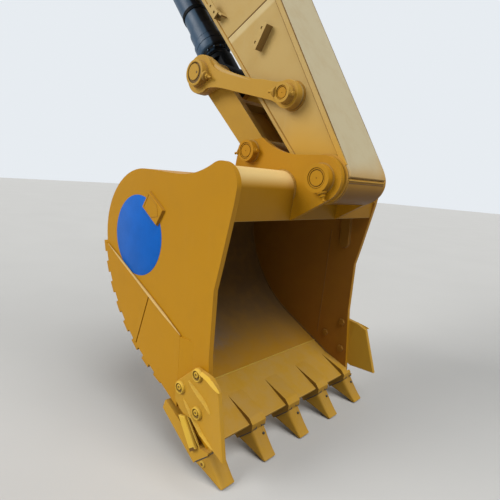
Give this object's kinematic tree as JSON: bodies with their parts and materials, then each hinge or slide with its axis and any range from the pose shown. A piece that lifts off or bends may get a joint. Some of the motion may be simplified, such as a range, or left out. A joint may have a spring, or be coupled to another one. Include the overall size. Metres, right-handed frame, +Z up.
{
  "type": "excavator arm with bucket",
  "caption": "Yellow excavator arm with a toothed digging bucket, its guide and power links and the dark bucket cylinder, parked with the teeth down.",
  "frame": {"origin": "centre of the boom pivot bore, on the middle plane of the arm", "axes": "X forward, away from the machine; Y left, along the pivots; Z up with the arm leaning in as parked"},
  "size_m": [2.4875, 1.3206, 4.3833],
  "materials": {
    "yellow_paint": "worn gloss paint with dust",
    "arm_paint": "sun-faded gloss paint with dust",
    "cylinder_paint": "dark gloss paint",
    "rod_chrome": "hard chrome",
    "pin_steel": "greasy worn steel"
  },
  "bodies": {
    "arm": {"arm_side_left": "arm_paint", "arm_side_right": "arm_paint", "arm_cheek_left": "arm_paint", "arm_cheek_right": "arm_paint", "arm_front_plate": "arm_paint", "arm_rear_plate": "arm_paint", "arm_tail_plate": "arm_paint", "arm_nose": "arm_paint", "arm_foot_boss": "arm_paint", "arm_guide_boss": "arm_paint", "arm_tail_lugs": "arm_paint", "cylinder_bracket": "arm_paint", "cylinder_base_pin": "pin_steel", "line_clips": "arm_paint"},
    "bucket": {"bucket_side_left": "yellow_paint", "bucket_side_right": "yellow_paint", "bucket_shell": "yellow_paint", "torque_tube": "yellow_paint", "bucket_ear_left": "yellow_paint", "bucket_ear_right": "yellow_paint", "bucket_pin": "pin_steel", "ear_pin_ends": "pin_steel", "lip_plate": "yellow_paint", "tooth_adapters": "yellow_paint", "teeth": "yellow_paint", "side_cutter_left": "yellow_paint", "side_cutter_right": "yellow_paint", "side_wear_plates": "yellow_paint", "heel_wear_blocks": "yellow_paint", "floor_wear_strips": "yellow_paint"},
    "guide_links": {"guide_link_left": "yellow_paint", "guide_link_right": "yellow_paint", "guide_pin": "pin_steel", "rod_pin_left": "pin_steel", "rod_pin_right": "pin_steel"},
    "power_link": {"power_link": "yellow_paint", "link_pin_core": "pin_steel"},
    "cylinder_barrel": {"cylinder_barrel": "cylinder_paint", "cylinder_gland": "cylinder_paint"},
    "cylinder_rod": {"cylinder_rod": "rod_chrome", "rod_pin_core": "pin_steel"}
  },
  "joints": [
    {"name": "bucket_curl", "type": "hinge", "parent": "arm", "child": "bucket", "pos_m": [-1.6119, 0, -2.53017], "axis": [0, 1, 0], "range_deg": [-5, 165]},
    {"name": "guide_swing", "type": "hinge", "parent": "arm", "child": "guide_links", "pos_m": [-1.386, 0, -2.16069], "axis": [0, 1, 0], "range_deg": [-4, 108]},
    {"name": "link_swing", "type": "hinge", "parent": "guide_links", "child": "power_link", "pos_m": [-0.77996, 0, -2.01202], "axis": [0, 1, 0], "range_deg": [-60, 2]},
    {"name": "cylinder_swing", "type": "hinge", "parent": "arm", "child": "cylinder_barrel", "pos_m": [0.26731, 0, -0.71571], "axis": [0, 1, 0], "range_deg": [-0.5, 1]},
    {"name": "cylinder_stroke", "type": "slide", "parent": "cylinder_barrel", "child": "cylinder_rod", "axis": [-0.6284, 0, -0.7779], "range_m": [-0.032, 1.01]}
  ],
  "couplings": [
    {"joint": "guide_swing", "follows": "bucket_curl", "ratio": 0.65343},
    {"joint": "link_swing", "follows": "bucket_curl", "ratio": -0.35922},
    {"joint": "cylinder_swing", "follows": "bucket_curl", "ratio": 0.00272},
    {"joint": "cylinder_stroke", "follows": "bucket_curl", "m_per_rad": 0.35014}
  ]
}
